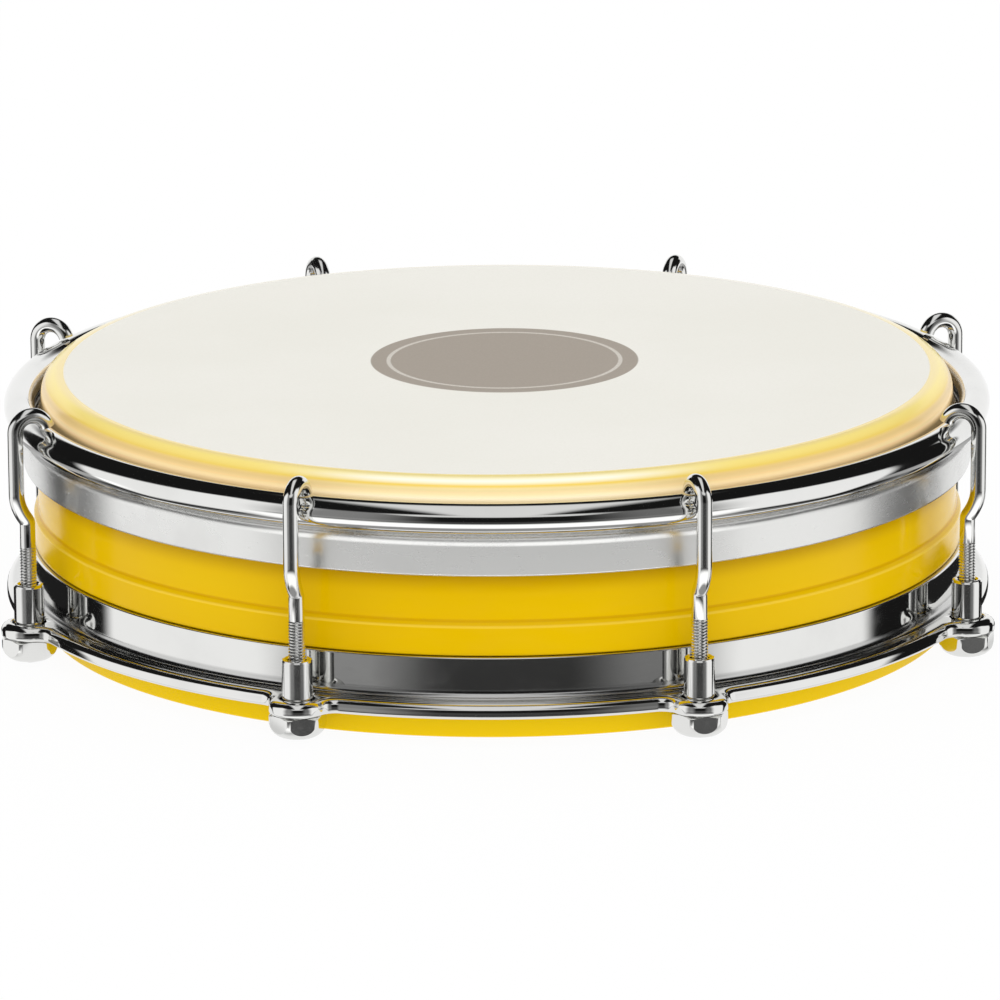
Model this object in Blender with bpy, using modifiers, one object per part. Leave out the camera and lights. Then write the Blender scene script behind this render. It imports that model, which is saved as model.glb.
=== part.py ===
"""A small tunable tamborim, built as the real drum comes apart.

The drum stands on the bottom rim of its shell. The origin is the centre of that rim, +Z is up and the
player's view in front looks along +Y. Blender units are metres, and the sizes are written in millimetres.
"""

import math

import bmesh
import bpy
from mathutils import Matrix

MM = 0.001

# Driving dimensions: fit
RING_STEPS = 64              # facets round every ring about the drum's axis, so that the rings nest
FIT_GAP = 0.3 * MM           # left between faces that touch on the real drum

# Driving dimensions: shell
SHELL_BORE_RADIUS = 72.6 * MM
SHELL_WALL = 5.0 * MM
SHELL_HEIGHT = 41.9 * MM
SKIRT_INSET = 0.4 * MM       # the skirt, where the tension ring sits, is drawn in from the wall
SKIRT_HEIGHT = 13.9 * MM
SHOULDER_PROUD = 0.8 * MM    # the shoulder, which the tension ring pulls against, stands out from the wall
SHOULDER_HEIGHT = 4.9 * MM
SHOULDER_BLEND = 0.9 * MM
REBATE_DEPTH = 1.4 * MM      # the wall is thinner under the head's collar
REBATE_LENGTH = 13.7 * MM
REBATE_BLEND = 1.0 * MM
EDGE_RADIUS = 3.0 * MM       # outer rounding of the bearing edge
EDGE_LAND = 0.3 * MM         # least width of the inner rounding that is left beside it
RIM_CHAMFER = 0.4 * MM

# Driving dimensions: head
FILM_THICKNESS = 0.4 * MM
COLLAR_DEPTH = 7.5 * MM      # from the playing face down to the top of the flesh hoop
COLLAR_STRAIGHT = 1.4 * MM   # below the rounding, before the film flares out to its hoop
CHANNEL_WALL = 0.5 * MM
CHANNEL_HEIGHT = 3.7 * MM
CHANNEL_CLEARANCE = 0.4 * MM

# Driving dimensions: counterhoop
HOOP_SHEET = 1.0 * MM
HOOP_HEIGHT = 12.3 * MM
HOOP_CLEARANCE = 0.64 * MM   # round the flesh hoop
HOOP_LEAN = math.radians(3.3)    # the band draws in towards its lower edge
BEAD_RADIUS = 2.6 * MM
BEAD_OFFSET = 0.76 * MM      # the bead's centre stands out from the middle of the band's sheet
BEAD_FILLET = 3.3 * MM       # where the band turns out into the bead, at the middle of the sheet
CURL_END = math.radians(235)

# Driving dimensions: tension ring
RING_SHEET = 1.6 * MM
RING_HEIGHT = 8.7 * MM
RING_BEND = 2.0 * MM         # inside radius of the bend between band and flange
FLANGE_THICKNESS = 2.1 * MM
FLANGE_REACH = 4.1 * MM
EAR_WALL = 1.9 * MM          # round the hole of each ear
EAR_FILLET = 2.5 * MM

# Driving dimensions: lugs
LUG_COUNT = 8
FIRST_LUG = math.radians(22.5)
BARREL_STANDOFF = 2.5 * MM   # between the ring's band and the barrel of the nut
BARREL_DIAMETER = 5.0 * MM
BARREL_LENGTH = 9.0 * MM
BARREL_CHAMFER = 0.4 * MM
NUT_ACROSS_FLATS = 8.4 * MM
NUT_HEX_HEIGHT = 3.8 * MM
NUT_CHAMFER_ANGLE = math.radians(30)
NUT_FOOT_CHAMFER = 0.4 * MM  # added to the chamfer round the nut's free end
NUT_BLANK_MARGIN = 0.3 * MM  # of the turned blank beyond the hexagon's corners
WIRE_DIAMETER = 2.6 * MM
ROD_HOOP_GAP = 1.5 * MM      # between the counterhoop's bead and the rod
ROD_TAIL = 0.4 * MM          # of the rod shows below the nut
JOG_BELOW_HOOP = 0.5 * MM
JOG_HEIGHT = 4.2 * MM
HOOK_BEND = 2.8 * MM         # radius of the hook at the middle of the wire
HOOK_WRAP = math.radians(164)

# Facets
EDGE_STEPS = 4
BEAD_STEPS = 10
BEAD_INNER_STEPS = 6
FILLET_STEPS = 4
INNER_EDGE_STEPS = 2
BEND_STEPS = 3
HOOK_STEPS = 8
JOG_STEPS = 5
EAR_STEPS = 5
EAR_FILLET_STEPS = 3
HOLE_STEPS = 18
NUT_STEPS = 16
WIRE_BEVEL_RESOLUTION = 2

# Sizes that follow: shell
WALL_RADIUS = SHELL_BORE_RADIUS + SHELL_WALL
SKIRT_RADIUS = WALL_RADIUS - SKIRT_INSET
SHOULDER_RADIUS = WALL_RADIUS + SHOULDER_PROUD
REBATE_RADIUS = WALL_RADIUS - REBATE_DEPTH
SHOULDER_TOP = SKIRT_HEIGHT + SHOULDER_HEIGHT
REBATE_BOTTOM = SHELL_HEIGHT - REBATE_LENGTH
EDGE_ROUNDING = min(EDGE_RADIUS, REBATE_RADIUS - SHELL_BORE_RADIUS - EDGE_LAND)
CROWN = (REBATE_RADIUS - EDGE_ROUNDING, SHELL_HEIGHT - EDGE_ROUNDING)

# Sizes that follow: head
HEAD_TOP = SHELL_HEIGHT + FIT_GAP + FILM_THICKNESS
COLLAR_INNER_RADIUS = REBATE_RADIUS + FIT_GAP
CHANNEL_TOP = HEAD_TOP - COLLAR_DEPTH
CHANNEL_BOTTOM = CHANNEL_TOP - CHANNEL_HEIGHT
CHANNEL_INNER_RADIUS = REBATE_RADIUS + CHANNEL_CLEARANCE
SLOT_WIDTH = FILM_THICKNESS + 2 * FIT_GAP
CHANNEL_OUTER_RADIUS = CHANNEL_INNER_RADIUS + SLOT_WIDTH + 2 * CHANNEL_WALL

# Sizes that follow: counterhoop
BAND_INNER_RADIUS = CHANNEL_OUTER_RADIUS + HOOP_CLEARANCE
BEAD_CENTRE_RADIUS = BAND_INNER_RADIUS + HOOP_SHEET / 2 + BEAD_OFFSET
BEAD_SEAT = BEAD_CENTRE_RADIUS - CHANNEL_OUTER_RADIUS
BEAD_CENTRE_Z = CHANNEL_TOP + FIT_GAP + math.sqrt(BEAD_RADIUS ** 2 - BEAD_SEAT ** 2)
HOOP_OUTER_RADIUS = BEAD_CENTRE_RADIUS + BEAD_RADIUS
HOOP_TOP = BEAD_CENTRE_Z + BEAD_RADIUS
HOOP_BOTTOM = HOOP_TOP - HOOP_HEIGHT

# Sizes that follow: tension ring
RING_INNER_RADIUS = SKIRT_RADIUS + FIT_GAP
RING_OUTER_RADIUS = RING_INNER_RADIUS + RING_SHEET
RING_TOP = SKIRT_HEIGHT - FIT_GAP
RING_BOTTOM = RING_TOP - RING_HEIGHT
FLANGE_TOP = RING_BOTTOM + FLANGE_THICKNESS
FLANGE_RADIUS = RING_OUTER_RADIUS + FLANGE_REACH

# Sizes that follow: lugs
LUG_RADIUS = RING_OUTER_RADIUS + BARREL_STANDOFF + BARREL_DIAMETER / 2
EAR_HOLE_RADIUS = BARREL_DIAMETER / 2 + FIT_GAP
EAR_RADIUS = EAR_HOLE_RADIUS + EAR_WALL
HEX_TOP = RING_BOTTOM - FIT_GAP
HEX_BOTTOM = HEX_TOP - NUT_HEX_HEIGHT
BARREL_TOP = HEX_TOP + BARREL_LENGTH
NUT_BORE_RADIUS = WIRE_DIAMETER / 2 + FIT_GAP
ROD_BOTTOM = HEX_BOTTOM - ROD_TAIL
ROD_OFFSET = HOOP_OUTER_RADIUS + ROD_HOOP_GAP + WIRE_DIAMETER / 2 - LUG_RADIUS
JOG_TOP = HOOP_BOTTOM - JOG_BELOW_HOOP
JOG_BOTTOM = JOG_TOP - JOG_HEIGHT

MERGE_DISTANCE = 0.00001
SHARP_ANGLE = math.radians(30)


def clear_scene():
    for thing in list(bpy.data.objects):
        bpy.data.objects.remove(thing, do_unlink=True)


def new_collection(name):
    collection = bpy.data.collections.new(name)
    bpy.context.scene.collection.children.link(collection)
    return collection


def new_material(name, colour, roughness, metallic):
    material = bpy.data.materials.new(name)
    material.use_nodes = True
    shader = material.node_tree.nodes["Principled BSDF"]
    shader.inputs["Base Color"].default_value = (*colour, 1.0)
    shader.inputs["Roughness"].default_value = roughness
    shader.inputs["Metallic"].default_value = metallic
    return material


def add_object(name, data, collection, material=None):
    thing = bpy.data.objects.new(name, data)
    collection.objects.link(thing)
    if material and not data.materials:
        data.materials.append(material)
    return thing


def add_cutter(name, data, collection):
    cutter = add_object(name, data, collection)
    cutter.display_type = "WIRE"
    cutter.hide_render = True
    return cutter


def mesh_from_bmesh(name, shape):
    mesh = bpy.data.meshes.new(name)
    shape.to_mesh(mesh)
    shape.free()
    return mesh


def evaluated_mesh(thing):
    """The mesh that an object's modifiers or bevel make of it."""
    graph = bpy.context.evaluated_depsgraph_get()
    graph.update()
    return bpy.data.meshes.new_from_object(thing.evaluated_get(graph))


def arc(centre, radius, start, end, steps):
    """Points along an arc, from one angle to the other, both ends included."""
    turn = (end - start) / steps
    angles = [start + turn * step for step in range(steps + 1)]
    return [(centre[0] + radius * math.cos(a), centre[1] + radius * math.sin(a)) for a in angles]


def turned(name, profile, collection, material, steps=RING_STEPS, closed=True):
    """A turned piece: the profile is (radius, height) points that run down its outer side."""
    mesh = bpy.data.meshes.new(name)
    points = [(radius, 0.0, height) for radius, height in profile]
    edges = [(i, i + 1) for i in range(len(points) - 1)]
    if closed:
        edges.append((len(points) - 1, 0))
    mesh.from_pydata(points, edges, [])
    thing = add_object(name, mesh, collection, material)
    screw = thing.modifiers.new("turn", "SCREW")
    screw.axis = "Z"
    screw.steps = steps
    screw.render_steps = steps
    screw.use_merge_vertices = True
    screw.merge_threshold = MERGE_DISTANCE
    screw.use_smooth_shade = True
    return thing


def add_boolean(thing, cutter, operation):
    boolean = thing.modifiers.new(operation.lower(), "BOOLEAN")
    boolean.object = cutter
    boolean.operation = operation
    boolean.solver = "EXACT"


def crisp_flats(thing):
    """Keeps the flat faces of a smooth-shaded piece flat to the eye."""
    thing.modifiers.new("crisp_flats", "WEIGHTED_NORMAL")


def lug_angles():
    return [FIRST_LUG + index * math.tau / LUG_COUNT for index in range(LUG_COUNT)]


def lug_matrix(angle):
    """Takes a piece drawn round its own screw axis, with +X pointing outwards, to its lug."""
    return Matrix.Rotation(angle, 4, "Z") @ Matrix.Translation((LUG_RADIUS, 0.0, 0.0))


# Shell

def shell_profile():
    inner_rounding = CROWN[0] - SHELL_BORE_RADIUS
    outer_edge = arc(CROWN, EDGE_ROUNDING, math.pi / 2, 0.0, EDGE_STEPS)
    inner_centre = (CROWN[0], SHELL_HEIGHT - inner_rounding)
    inner_edge = arc(inner_centre, inner_rounding, math.pi, math.pi / 2, INNER_EDGE_STEPS)
    side = [
        (REBATE_RADIUS, REBATE_BOTTOM + REBATE_BLEND),
        (WALL_RADIUS, REBATE_BOTTOM),
        (WALL_RADIUS, SHOULDER_TOP + SHOULDER_BLEND),
        (SHOULDER_RADIUS, SHOULDER_TOP),
        (SHOULDER_RADIUS, SKIRT_HEIGHT),
        (SKIRT_RADIUS, SKIRT_HEIGHT),
        (SKIRT_RADIUS, RIM_CHAMFER),
        (SKIRT_RADIUS - RIM_CHAMFER, 0.0),
        (SHELL_BORE_RADIUS + RIM_CHAMFER, 0.0),
        (SHELL_BORE_RADIUS, RIM_CHAMFER),
    ]
    return outer_edge + side + inner_edge[:-1]


# Head

def film_half(offset):
    """One side of the film, from near the playing face's edge down into the channel's slot."""
    collar = COLLAR_INNER_RADIUS + offset
    slot = CHANNEL_INNER_RADIUS + CHANNEL_WALL + FIT_GAP + offset
    side = arc(CROWN, EDGE_ROUNDING + FIT_GAP + offset, math.pi / 2, 0.0, EDGE_STEPS)
    side.append((collar, CROWN[1] - COLLAR_STRAIGHT))
    side.append((slot, CHANNEL_TOP))
    side.append((slot, CHANNEL_BOTTOM + CHANNEL_WALL + FIT_GAP))
    return side


def film_profile():
    top = [(0.0, HEAD_TOP)] + film_half(FILM_THICKNESS)
    underside = list(reversed(film_half(0.0))) + [(0.0, HEAD_TOP - FILM_THICKNESS)]
    return top + underside


def channel_profile():
    slot_inner = CHANNEL_INNER_RADIUS + CHANNEL_WALL
    slot_outer = slot_inner + SLOT_WIDTH
    slot_bottom = CHANNEL_BOTTOM + CHANNEL_WALL
    return [
        (CHANNEL_OUTER_RADIUS, CHANNEL_TOP),
        (CHANNEL_OUTER_RADIUS, CHANNEL_BOTTOM),
        (CHANNEL_INNER_RADIUS, CHANNEL_BOTTOM),
        (CHANNEL_INNER_RADIUS, CHANNEL_TOP),
        (slot_inner, CHANNEL_TOP),
        (slot_inner, slot_bottom),
        (slot_outer, slot_bottom),
        (slot_outer, CHANNEL_TOP),
    ]


# Counterhoop

def hoop_profile():
    """A flat band whose top edge turns out, up and over into an open curl."""
    middle = BEAD_RADIUS - HOOP_SHEET / 2
    across = BEAD_FILLET - BEAD_OFFSET
    rise = math.sqrt((middle + BEAD_FILLET) ** 2 - across ** 2)
    fillet = (BEAD_CENTRE_RADIUS + across, BEAD_CENTRE_Z - rise)
    bead = (BEAD_CENTRE_RADIUS, BEAD_CENTRE_Z)
    meeting = math.atan2(rise, -across)
    band = math.pi - HOOP_LEAN
    outer_fillet = arc(fillet, BEAD_FILLET - HOOP_SHEET / 2, meeting, band, FILLET_STEPS)
    inner_fillet = arc(fillet, BEAD_FILLET + HOOP_SHEET / 2, band, meeting, FILLET_STEPS)
    outer_curl = arc(bead, BEAD_RADIUS, CURL_END, meeting - math.pi, BEAD_STEPS)
    inner_curl = arc(bead, BEAD_RADIUS - HOOP_SHEET, meeting - math.pi, CURL_END, BEAD_INNER_STEPS)
    outer_foot = foot_of_band(outer_fillet[-1])
    inner_foot = foot_of_band(inner_fillet[0])
    return outer_curl + outer_fillet[1:] + [outer_foot, inner_foot] + inner_fillet + inner_curl[1:]


def foot_of_band(start):
    """Where a side of the hoop's leaning band ends, at the level of the hoop's lower edge."""
    return (start[0] - (start[1] - HOOP_BOTTOM) * math.tan(HOOP_LEAN), HOOP_BOTTOM)


# Tension ring

def ring_profile():
    """A pressed ring: a band round the skirt, and a thicker flange turned outwards at its foot."""
    bend = (RING_OUTER_RADIUS + RING_BEND, FLANGE_TOP + RING_BEND)
    hollow = arc(bend, RING_BEND, math.pi, 1.5 * math.pi, BEND_STEPS)
    outside_bend = RING_BEND + RING_SHEET
    round_side = arc((bend[0], RING_BOTTOM + outside_bend), outside_bend, 1.5 * math.pi, math.pi, BEND_STEPS)
    flange = [(FLANGE_RADIUS, FLANGE_TOP), (FLANGE_RADIUS, RING_BOTTOM)]
    return [(RING_OUTER_RADIUS, RING_TOP)] + hollow + flange + round_side + [(RING_INNER_RADIUS, RING_TOP)]


def ear_outline():
    """Half lobes round the screw axis, blended by a fillet into the flange's edge on both sides."""
    flange = FLANGE_RADIUS * math.cos(math.pi / RING_STEPS)
    reach = EAR_RADIUS + EAR_FILLET
    side = flange + EAR_FILLET
    # The fillet's centre lies outside both the ear's circle and the flange's circle.
    along = (side ** 2 - reach ** 2 + LUG_RADIUS ** 2) / (2 * LUG_RADIUS)
    across = math.sqrt(side ** 2 - along ** 2)
    centre = (along - LUG_RADIUS, across)
    to_ear = math.atan2(-centre[1], -centre[0])
    to_flange = math.atan2(-across, -along)
    ear = arc((0.0, 0.0), EAR_RADIUS, 0.0, math.atan2(centre[1], centre[0]), EAR_STEPS)
    fillet = arc(centre, EAR_FILLET, to_ear, to_flange, EAR_FILLET_STEPS)
    half = ear + fillet[1:]
    root = (RING_OUTER_RADIUS + RING_BEND + FLANGE_RADIUS) / 2 - LUG_RADIUS
    half.append((root, fillet[-1][1]))
    mirrored = [(x, -y) for x, y in reversed(half[1:])]
    return half + mirrored


def ear_solid():
    """All the ears as one set of plates, on the level of the flange."""
    outline = bpy.data.curves.new("ear_outline", "CURVE")
    outline.dimensions = "2D"
    outline.fill_mode = "BOTH"
    outline.extrude = FLANGE_THICKNESS / 2
    spline = outline.splines.new("POLY")
    points = ear_outline()
    spline.points.add(len(points) - 1)
    for point, (x, y) in zip(spline.points, points):
        point.co = (x, y, 0.0, 1.0)
    spline.use_cyclic_u = True
    guide = add_object("ear_outline", outline, bpy.context.scene.collection)
    plate = evaluated_mesh(guide)
    bpy.data.objects.remove(guide, do_unlink=True)

    lift = Matrix.Translation((0.0, 0.0, RING_BOTTOM + FLANGE_THICKNESS / 2))
    ears = bmesh.new()
    for angle in lug_angles():
        first = len(ears.verts)
        ears.from_mesh(plate)
        ears.verts.ensure_lookup_table()
        bmesh.ops.transform(ears, matrix=lug_matrix(angle) @ lift, verts=ears.verts[first:])
    bmesh.ops.remove_doubles(ears, verts=ears.verts, dist=MERGE_DISTANCE)
    return mesh_from_bmesh("ears", ears)


def lug_cylinders(name, radius, bottom, top):
    """One upright cylinder at every lug."""
    shape = bmesh.new()
    lift = Matrix.Translation((0.0, 0.0, (bottom + top) / 2))
    for angle in lug_angles():
        bmesh.ops.create_cone(
            shape, cap_ends=True, segments=HOLE_STEPS, radius1=radius, radius2=radius,
            depth=top - bottom, matrix=lug_matrix(angle) @ lift)
    return mesh_from_bmesh(name, shape)


# Tubular hex nuts

def nut_blank_profile():
    """The nut as it is turned, before its hexagon is cut. Heights are the drum's own."""
    corner = NUT_ACROSS_FLATS / math.sqrt(3) + NUT_BLANK_MARGIN
    flat = NUT_ACROSS_FLATS / 2
    slope = (corner - flat) * math.tan(NUT_CHAMFER_ANGLE)
    barrel = BARREL_DIAMETER / 2
    return [
        (barrel - BARREL_CHAMFER, BARREL_TOP),
        (barrel, BARREL_TOP - BARREL_CHAMFER),
        (barrel, HEX_TOP),
        (flat, HEX_TOP),
        (corner, HEX_TOP - slope),
        (corner, HEX_BOTTOM + slope + NUT_FOOT_CHAMFER),
        (flat - NUT_FOOT_CHAMFER, HEX_BOTTOM),
        (NUT_BORE_RADIUS, HEX_BOTTOM),
        (NUT_BORE_RADIUS, BARREL_TOP),
    ]


def hexagon_bar():
    """A hexagonal bar with flats that face front and back, longer than the nut at both ends."""
    bar = bmesh.new()
    corner = NUT_ACROSS_FLATS / math.sqrt(3)
    length = BARREL_TOP - HEX_BOTTOM + 2 * NUT_HEX_HEIGHT
    middle = Matrix.Translation((0.0, 0.0, (BARREL_TOP + HEX_BOTTOM) / 2))
    flat_in_front = Matrix.Rotation(math.pi / 6, 4, "Z")
    bmesh.ops.create_cone(
        bar, cap_ends=True, segments=6, radius1=corner, radius2=corner, depth=length,
        matrix=middle @ flat_in_front)
    return mesh_from_bmesh("hexagon_bar", bar)


def nut_mesh(cutters):
    """The turned blank where it lies inside the hexagonal bar, drawn once for all the nuts."""
    blank = turned("nut_blank", nut_blank_profile(), cutters, None, steps=NUT_STEPS)
    bar = add_cutter("hexagon_bar", hexagon_bar(), cutters)
    add_boolean(blank, bar, "INTERSECT")
    mesh = evaluated_mesh(blank)
    mesh.name = "nut"
    mesh.shade_smooth()
    mesh.set_sharp_from_angle(angle=SHARP_ANGLE)
    bpy.data.objects.remove(blank, do_unlink=True)
    bpy.data.objects.remove(bar, do_unlink=True)
    return mesh


# Hook rods

def hook_path():
    """The middle of the wire in its own plane: outwards from the screw axis, and up."""
    jog = []
    for step in range(JOG_STEPS + 1):
        share = step / JOG_STEPS
        across = ROD_OFFSET * (1 - math.cos(math.pi * share)) / 2
        jog.append((across, JOG_BOTTOM + JOG_HEIGHT * share))

    # The inner corner of the wire's end rests on the top of the bead.
    bend_x = ROD_OFFSET - HOOK_BEND
    inner_bend = HOOK_BEND - WIRE_DIAMETER / 2
    rest_x = LUG_RADIUS + bend_x + inner_bend * math.cos(HOOK_WRAP) - BEAD_CENTRE_RADIUS
    rest_z = BEAD_CENTRE_Z + math.sqrt((BEAD_RADIUS + FIT_GAP) ** 2 - rest_x ** 2)
    bend = (bend_x, rest_z - inner_bend * math.sin(HOOK_WRAP))
    return [(0.0, ROD_BOTTOM)] + jog + arc(bend, HOOK_BEND, 0.0, HOOK_WRAP, HOOK_STEPS)


def hook_wire():
    wire = bpy.data.curves.new("hook_wire", "CURVE")
    wire.dimensions = "3D"
    wire.bevel_depth = WIRE_DIAMETER / 2
    wire.bevel_resolution = WIRE_BEVEL_RESOLUTION
    wire.use_fill_caps = True
    path = hook_path()
    spline = wire.splines.new("POLY")
    spline.points.add(len(path) - 1)
    for point, (x, z) in zip(spline.points, path):
        point.co = (x, 0.0, z, 1.0)
    return wire


def build():
    clear_scene()
    drum = new_collection("tamborim")
    cutters = new_collection("cutters")

    yellow_plastic = new_material("yellow_plastic", (0.76, 0.48, 0.0), 0.18, 0.0)
    white_film = new_material("white_film", (0.86, 0.84, 0.78), 0.4, 0.0)
    channel_metal = new_material("channel_metal", (0.80, 0.80, 0.80), 0.35, 1.0)
    hoop_chrome = new_material("hoop_chrome", (0.84, 0.84, 0.84), 0.08, 1.0)
    ring_chrome = new_material("ring_chrome", (0.84, 0.84, 0.84), 0.07, 1.0)
    hook_chrome = new_material("hook_chrome", (0.84, 0.84, 0.84), 0.10, 1.0)
    nut_chrome = new_material("nut_chrome", (0.84, 0.84, 0.84), 0.12, 1.0)

    crisp_flats(turned("shell", shell_profile(), drum, yellow_plastic))
    crisp_flats(turned("drumhead", film_profile(), drum, white_film, closed=False))
    crisp_flats(turned("flesh_hoop", channel_profile(), drum, channel_metal))
    crisp_flats(turned("counterhoop", hoop_profile(), drum, hoop_chrome))

    ring = turned("tension_ring", ring_profile(), drum, ring_chrome)
    ears = add_cutter("ears", ear_solid(), cutters)
    holes = lug_cylinders(
        "ear_holes", EAR_HOLE_RADIUS, RING_BOTTOM - FLANGE_THICKNESS, FLANGE_TOP + FLANGE_THICKNESS)
    add_boolean(ring, ears, "UNION")
    add_boolean(ring, add_cutter("ear_holes", holes, cutters), "DIFFERENCE")
    crisp_flats(ring)

    wire = hook_wire()
    nut = nut_mesh(cutters)
    for index, angle in enumerate(lug_angles()):
        hook = add_object(f"hook_{index + 1}", wire, drum, hook_chrome)
        hook.matrix_world = lug_matrix(angle)
        # The nuts were left with a flat to the front all round the drum.
        lug_nut = add_object(f"nut_{index + 1}", nut, drum, nut_chrome)
        lug_nut.location = lug_matrix(angle).translation


build()
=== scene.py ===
"""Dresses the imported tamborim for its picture: finer forms, finishes, studio light and the camera.

Lengths are in metres, on the drum's own frame: the origin is the centre of the bottom rim and +Z is up.
"""

import math

import bmesh
import bpy
from mathutils import Matrix, Vector


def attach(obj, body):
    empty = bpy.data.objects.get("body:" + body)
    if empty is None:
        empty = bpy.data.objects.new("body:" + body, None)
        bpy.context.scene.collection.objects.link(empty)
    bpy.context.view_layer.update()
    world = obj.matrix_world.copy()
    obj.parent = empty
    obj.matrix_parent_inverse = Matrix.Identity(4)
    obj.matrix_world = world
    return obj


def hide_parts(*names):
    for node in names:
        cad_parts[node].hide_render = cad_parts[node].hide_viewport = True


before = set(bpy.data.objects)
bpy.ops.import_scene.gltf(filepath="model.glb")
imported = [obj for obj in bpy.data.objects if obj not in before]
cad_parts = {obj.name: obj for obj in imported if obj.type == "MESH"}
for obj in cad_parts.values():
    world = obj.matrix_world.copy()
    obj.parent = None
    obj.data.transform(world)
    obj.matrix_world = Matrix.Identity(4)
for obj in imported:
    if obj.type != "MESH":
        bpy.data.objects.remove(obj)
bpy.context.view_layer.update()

MM = 0.001

# The drum's own sizes, repeated from the part
BORE_RADIUS = 72.6 * MM
WALL_RADIUS = 77.6 * MM
SKIRT_RADIUS = 77.2 * MM
SHOULDER_RADIUS = 78.4 * MM
SKIRT_TOP = 13.9 * MM
SHOULDER_TOP = 18.8 * MM
REBATE_RADIUS = 76.2 * MM
REBATE_BOTTOM = 28.2 * MM
SHELL_TOP = 41.9 * MM
CROWN = (73.2 * MM, 38.9 * MM)
CROWN_RADIUS = 3.0 * MM
FIT_GAP = 0.3 * MM

HEAD_TOP = 42.6 * MM
FILM = 0.4 * MM
COATING_EDGE = 73.0 * MM
PATCH = (1.33 * MM, 3.09 * MM)
PATCH_RADIUS = 22.6 * MM
PATCH_RING = 19.6 * MM

CHANNEL_INNER = 76.6 * MM
CHANNEL_OUTER = 78.6 * MM
CHANNEL_BOTTOM = 31.4 * MM
CHANNEL_TOP = 35.1 * MM
CHANNEL_WALL = 0.5 * MM

BAND_MIDDLE = 79.74 * MM
HOOP_SHEET = 1.0 * MM
HOOP_BOTTOM = 27.475 * MM
HOOP_LEAN = math.radians(3.3)
HOOP_EDGE = 0.42 * MM
BEAD = (80.5 * MM, 37.175 * MM)
BEAD_RADIUS = 2.6 * MM
BEAD_FILLET = 3.3 * MM
CURL_END = math.radians(235)

RING_INNER = 77.5 * MM
RING_OUTER = 79.1 * MM
RING_TOP = 13.85 * MM
RING_BOTTOM = 4.7 * MM
FLANGE_TOP = 7.1 * MM
FLANGE_RADIUS = 83.2 * MM
RING_BEND = 1.3 * MM
EAR_RADIUS = 4.7 * MM
EAR_HOLE = 2.8 * MM
EAR_FILLET = 2.5 * MM

LUG_COUNT = 8
FIRST_LUG = math.radians(22.5)
LUG_RADIUS = 84.1 * MM
WIRE_RADIUS = 1.3 * MM
ROD_BOTTOM = 0.4 * MM
ROD_OFFSET = 1.8 * MM
JOG_BOTTOM = 23.9 * MM
JOG_HEIGHT = 5.2 * MM
HOOK_BEND = 2.8 * MM
HOOK_WRAP = math.radians(164)
THREAD_TOP = 20.0 * MM
THREAD_PITCH = 0.5 * MM
THREAD_RADIUS = 1.42 * MM
THREAD_DEPTH = 0.22 * MM

HEX_FLATS = 8.4 * MM
HEX_BOTTOM = 0.8 * MM
HEX_TOP = 4.6 * MM
BARREL_RADIUS = 2.5 * MM
BARREL_TOP = 13.6 * MM
NUT_BORE = 1.6 * MM
NUT_TURN = math.radians(12)

ROUND_STEPS = 288
STUDIO_REACH = 5.0


# Node helpers

def calc(tree, operation, *values):
    """A math node; each value is a number or another node's output."""
    node = tree.nodes.new("ShaderNodeMath")
    node.operation = operation
    for socket, value in zip(node.inputs, values):
        if isinstance(value, (int, float)):
            socket.default_value = value
        else:
            tree.links.new(value, socket)
    return node.outputs[0]


def ramp_up(tree, value, start, end, low=0.0, high=1.0):
    """A smooth step of a value between two limits."""
    node = tree.nodes.new("ShaderNodeMapRange")
    node.interpolation_type = "SMOOTHSTEP"
    node.inputs["From Min"].default_value = start
    node.inputs["From Max"].default_value = end
    node.inputs["To Min"].default_value = low
    node.inputs["To Max"].default_value = high
    tree.links.new(value, node.inputs["Value"])
    return node.outputs["Result"]


def noise(tree, vector, scale, detail=3.0, roughness=0.5):
    node = tree.nodes.new("ShaderNodeTexNoise")
    node.inputs["Scale"].default_value = scale
    node.inputs["Detail"].default_value = detail
    node.inputs["Roughness"].default_value = roughness
    tree.links.new(vector, node.inputs["Vector"])
    return node.outputs["Fac"]


def colour_ramp(tree, factor, stops):
    """A colour ramp from (position, colour) stops."""
    node = tree.nodes.new("ShaderNodeValToRGB")
    ramp = node.color_ramp
    while len(ramp.elements) < len(stops):
        ramp.elements.new(0.5)
    for element, (position, colour) in zip(ramp.elements, stops):
        element.position = position
        element.color = (*colour, 1.0)
    tree.links.new(factor, node.inputs["Fac"])
    return node.outputs["Color"]


def linear(red, green, blue):
    """A colour on a 0 to 255 screen scale, as scene values."""
    def channel(value):
        share = value / 255
        return share / 12.92 if share <= 0.04045 else ((share + 0.055) / 1.055) ** 2.4
    return (channel(red), channel(green), channel(blue))


def mix_colour(tree, factor, first, second):
    node = tree.nodes.new("ShaderNodeMix")
    node.data_type = "RGBA"
    sockets = [s for s in node.inputs if s.type == "RGBA"]
    factors = [s for s in node.inputs if s.name == "Factor" and s.type == "VALUE"]
    tree.links.new(factor, factors[0])
    for socket, value in zip(sockets, (first, second)):
        if isinstance(value, tuple):
            socket.default_value = (*value, 1.0)
        else:
            tree.links.new(value, socket)
    return [s for s in node.outputs if s.type == "RGBA"][0]


def place(tree):
    """The point's own place on the object, and its parts."""
    where = tree.nodes.new("ShaderNodeTexCoord").outputs["Object"]
    split = tree.nodes.new("ShaderNodeSeparateXYZ")
    tree.links.new(where, split.inputs[0])
    return where, split.outputs[0], split.outputs[1], split.outputs[2]


def radius_of(tree, x, y):
    return calc(tree, "SQRT", calc(tree, "ADD", calc(tree, "MULTIPLY", x, x), calc(tree, "MULTIPLY", y, y)))


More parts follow.
